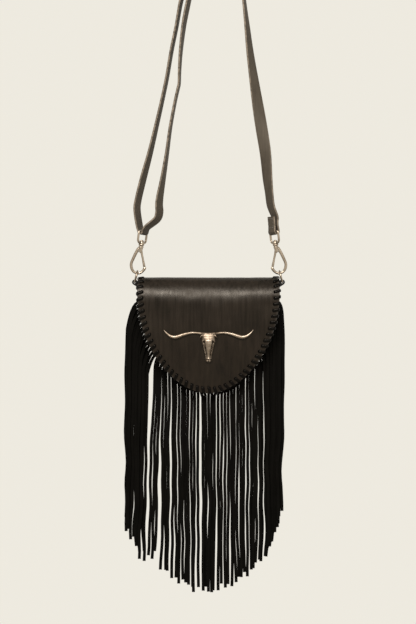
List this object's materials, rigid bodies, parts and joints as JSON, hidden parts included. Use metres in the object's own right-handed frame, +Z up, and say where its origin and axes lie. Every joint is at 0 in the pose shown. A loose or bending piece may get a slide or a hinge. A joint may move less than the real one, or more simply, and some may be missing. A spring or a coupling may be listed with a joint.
{
  "type": "fringed suede flap bag",
  "caption": "Small fringed leather shoulder bag: laced round flap with a steer skull ornament, snap clasps on side rings and a strap doubled through a slider.",
  "frame": {"origin": "hang point: the underside of the strap at its apex, where a peg or hook carries it", "axes": "+Z up, the bag hangs below the origin; +X to the right seen from the front; the flap faces -Y"},
  "size_m": [0.2035, 0.0402, 0.9928],
  "materials": {
    "black_leather": "soft matt hide, nap at the back and inside",
    "black_lace": "satin lace",
    "black_fringe": "suede",
    "strap_leather": "matt, stitched edges",
    "nickel": "pale nickel plate",
    "antique_silver": "antiqued silver, dark in the recesses"
  },
  "bodies": {
    "strap": {"shoulder_strap": "strap_leather", "slider": "nickel", "swivel_eye_left": "nickel", "swivel_eye_right": "nickel"},
    "bag": {"back_panel": "black_leather", "front_panel": "black_leather", "fringe": "black_fringe", "ring_left": "nickel", "ring_right": "nickel", "ring_tab_left": "black_leather", "ring_tab_right": "black_leather"},
    "flap": {"flap": "black_leather", "flap_lacing": "black_lace", "longhorn_ornament": "antique_silver", "ornament_screw_upper": "nickel", "ornament_screw_lower": "nickel"},
    "clasp_left": {"hook_left": "nickel", "gate_pin_left": "nickel"},
    "gate_left": {"gate_left": "nickel"},
    "clasp_right": {"hook_right": "nickel", "gate_pin_right": "nickel"},
    "gate_right": {"gate_right": "nickel"}
  },
  "joints": [
    {"name": "bag_swing", "type": "hinge", "parent": "strap", "child": "bag", "pos_m": [-0.011, 0, -0.59175], "axis": [1, 0, 0], "range_deg": [-25, 25]},
    {"name": "flap_hinge", "type": "hinge", "parent": "bag", "child": "flap", "pos_m": [-0.011, -0.00345, -0.5968], "axis": [-1, 0, 0], "range_deg": [0, 65]},
    {"name": "clasp_swivel_left", "type": "hinge", "parent": "strap", "child": "clasp_left", "pos_m": [-0.095, 0, -0.5569], "axis": [0.1225, 0, 0.9925], "range_deg": [-12, 12]},
    {"name": "gate_hinge_left", "type": "hinge", "parent": "clasp_left", "child": "gate_left", "pos_m": [-0.0951, 0, -0.5633], "axis": [0, 1, 0], "range_deg": [0, 25], "stiffness_Nm_per_rad": 0.03, "springref_deg": -17.19},
    {"name": "clasp_swivel_right", "type": "hinge", "parent": "strap", "child": "clasp_right", "pos_m": [0.073, 0, -0.5569], "axis": [-0.1225, 0, 0.9925], "range_deg": [-12, 12]},
    {"name": "gate_hinge_right", "type": "hinge", "parent": "clasp_right", "child": "gate_right", "pos_m": [0.0731, 0, -0.5633], "axis": [0, -1, 0], "range_deg": [0, 25], "stiffness_Nm_per_rad": 0.03, "springref_deg": -17.19}
  ]
}
